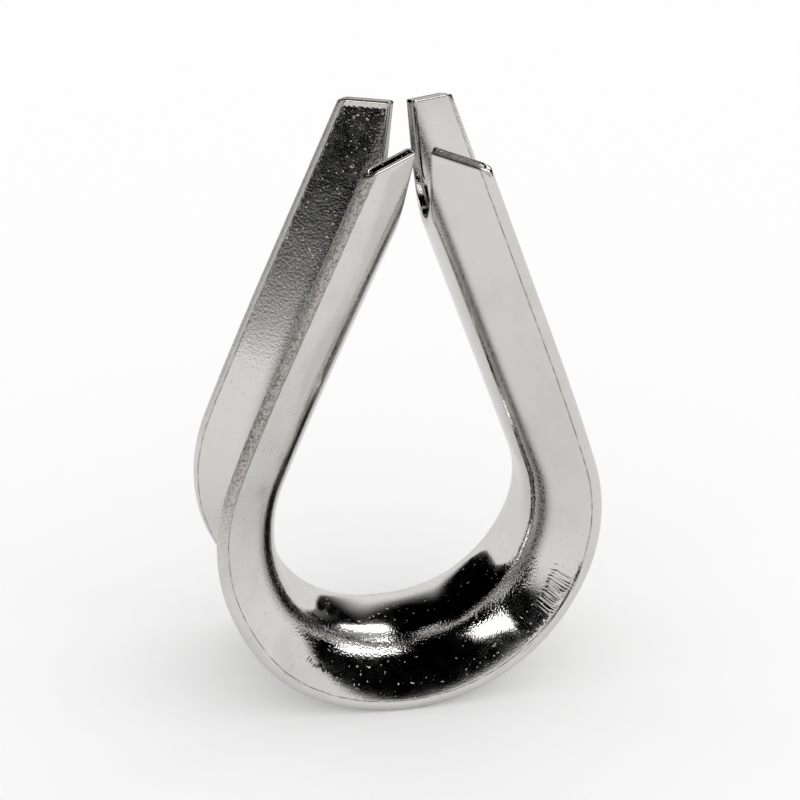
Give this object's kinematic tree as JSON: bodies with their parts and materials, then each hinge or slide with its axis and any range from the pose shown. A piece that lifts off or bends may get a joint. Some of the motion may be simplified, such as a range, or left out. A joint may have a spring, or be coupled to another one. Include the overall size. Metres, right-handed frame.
{
  "type": "wire rope thimble",
  "caption": "Open teardrop thimble eye pressed from stainless sheet, with a flared rope groove round the outside and unwelded tips.",
  "frame": {"origin": "middle of the base of the bounding box, on the surface under the crown", "axes": "+Z along the line of pull from the crown to the open tips, +X across the eye, +Y through the eye along the pin"},
  "size_m": [0.031, 0.0152, 0.049],
  "materials": {
    "polished_stainless": "polished stainless steel with fine press marks"
  },
  "bodies": {
    "root": {"thimble_channel": "polished_stainless"}
  },
  "joints": []
}
